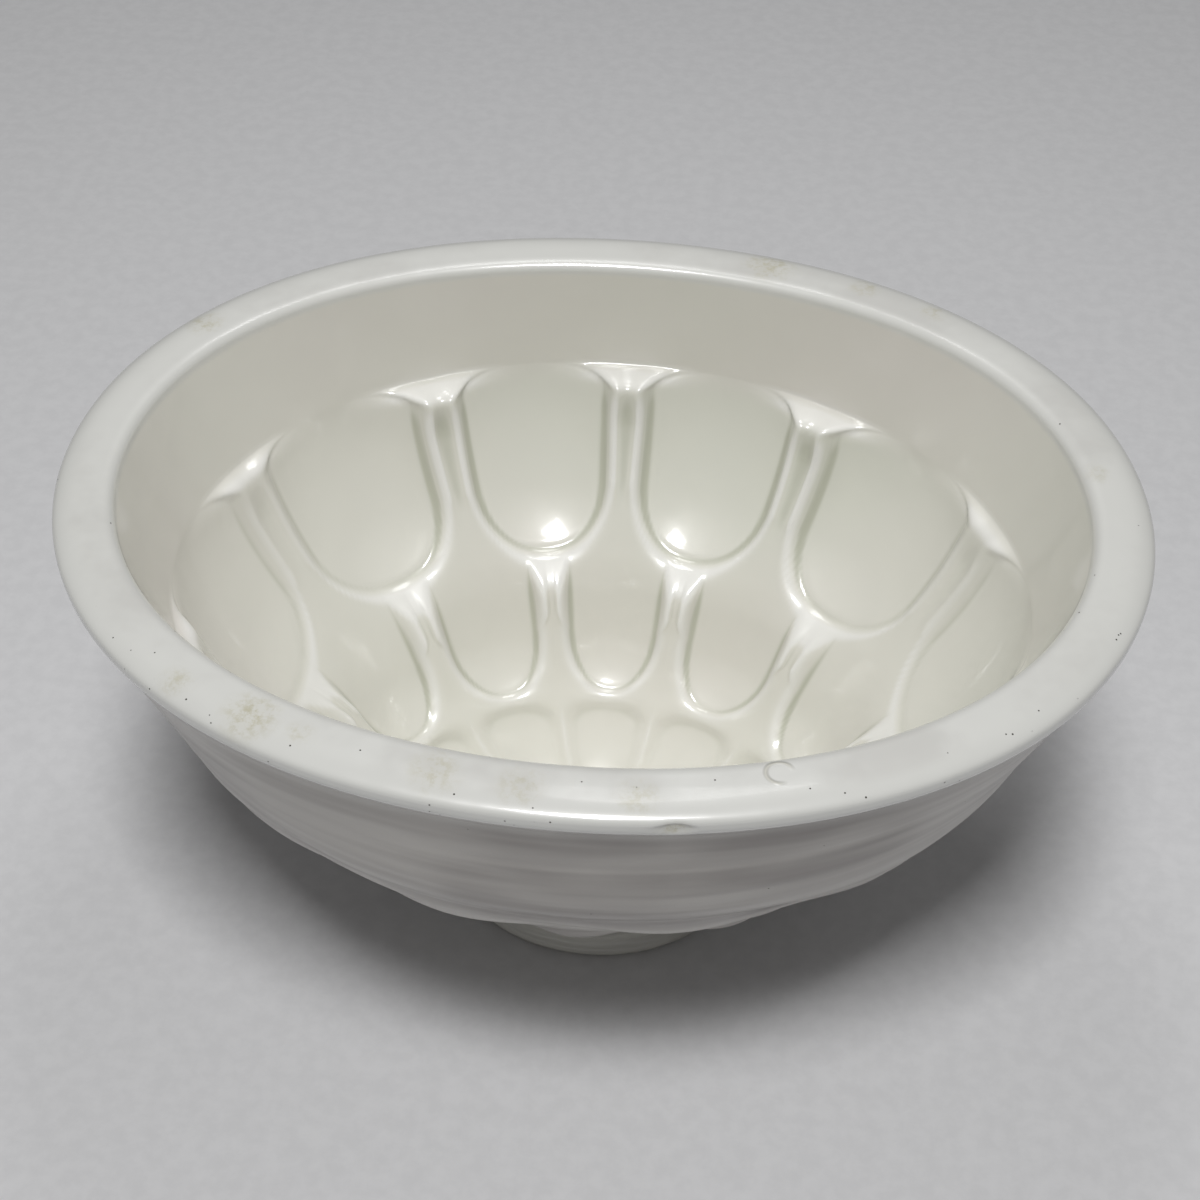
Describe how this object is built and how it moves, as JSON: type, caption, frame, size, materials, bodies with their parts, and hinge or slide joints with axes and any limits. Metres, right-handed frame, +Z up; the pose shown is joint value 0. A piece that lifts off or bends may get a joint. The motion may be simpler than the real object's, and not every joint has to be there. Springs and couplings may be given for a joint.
{
  "type": "jelly mould",
  "caption": "Oval white glazed pottery jelly mould, open side up, with tiers of moulded petals inside and a low foot ring under its base.",
  "frame": {"origin": "centre of the foot's base, with the mould standing open side up", "axes": "+X along the oval's long axis, +Y along its short axis, +Z up out of the opening"},
  "size_m": [0.187, 0.1478, 0.104],
  "materials": {
    "body_glaze": "gloss",
    "foot_glaze": "gloss"
  },
  "bodies": {
    "root": {"mould_body": "body_glaze", "foot_ring": "foot_glaze"}
  },
  "joints": []
}
